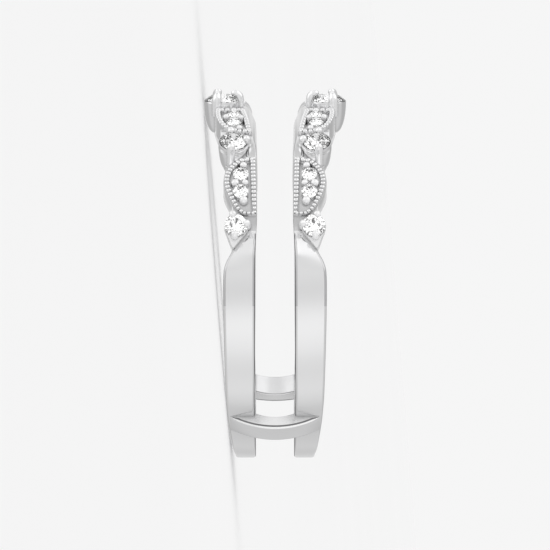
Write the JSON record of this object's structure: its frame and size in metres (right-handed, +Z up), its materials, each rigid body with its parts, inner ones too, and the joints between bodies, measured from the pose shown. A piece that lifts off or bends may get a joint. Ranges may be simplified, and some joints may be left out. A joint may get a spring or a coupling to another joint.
{
  "type": "ring guard enhancer",
  "caption": "Open ring guard of two joined half bands set with round brilliants, with a slot between them for another ring.",
  "frame": {"origin": "centre of the box's underside, on the surface that the ring lies on", "axes": "+Z up from that surface, close to the finger's axis; -X towards the stones at the top of the ring; Y across the finger hole"},
  "size_m": [0.0216, 0.0202, 0.0082],
  "materials": {
    "white_metal": "high polish white gold",
    "brilliant": "faceted, colourless"
  },
  "bodies": {
    "root": {"guard_frame": "white_metal", "left_centre_stone": "brilliant", "right_centre_stone": "brilliant", "left_near_upper_stone_1": "brilliant", "left_near_upper_stone_2": "brilliant", "left_near_collet_stone": "brilliant", "left_near_leaf_stone_1": "brilliant", "left_near_leaf_stone_2": "brilliant", "left_near_tail_stone": "brilliant", "left_far_upper_stone_1": "brilliant", "left_far_upper_stone_2": "brilliant", "left_far_collet_stone": "brilliant", "left_far_leaf_stone_1": "brilliant", "left_far_leaf_stone_2": "brilliant", "left_far_tail_stone": "brilliant", "right_near_upper_stone_1": "brilliant", "right_near_upper_stone_2": "brilliant", "right_near_collet_stone": "brilliant", "right_near_leaf_stone_1": "brilliant", "right_near_leaf_stone_2": "brilliant", "right_near_tail_stone": "brilliant", "right_far_upper_stone_1": "brilliant", "right_far_upper_stone_2": "brilliant", "right_far_collet_stone": "brilliant", "right_far_leaf_stone_1": "brilliant", "right_far_leaf_stone_2": "brilliant", "right_far_tail_stone": "brilliant"}
  },
  "joints": []
}
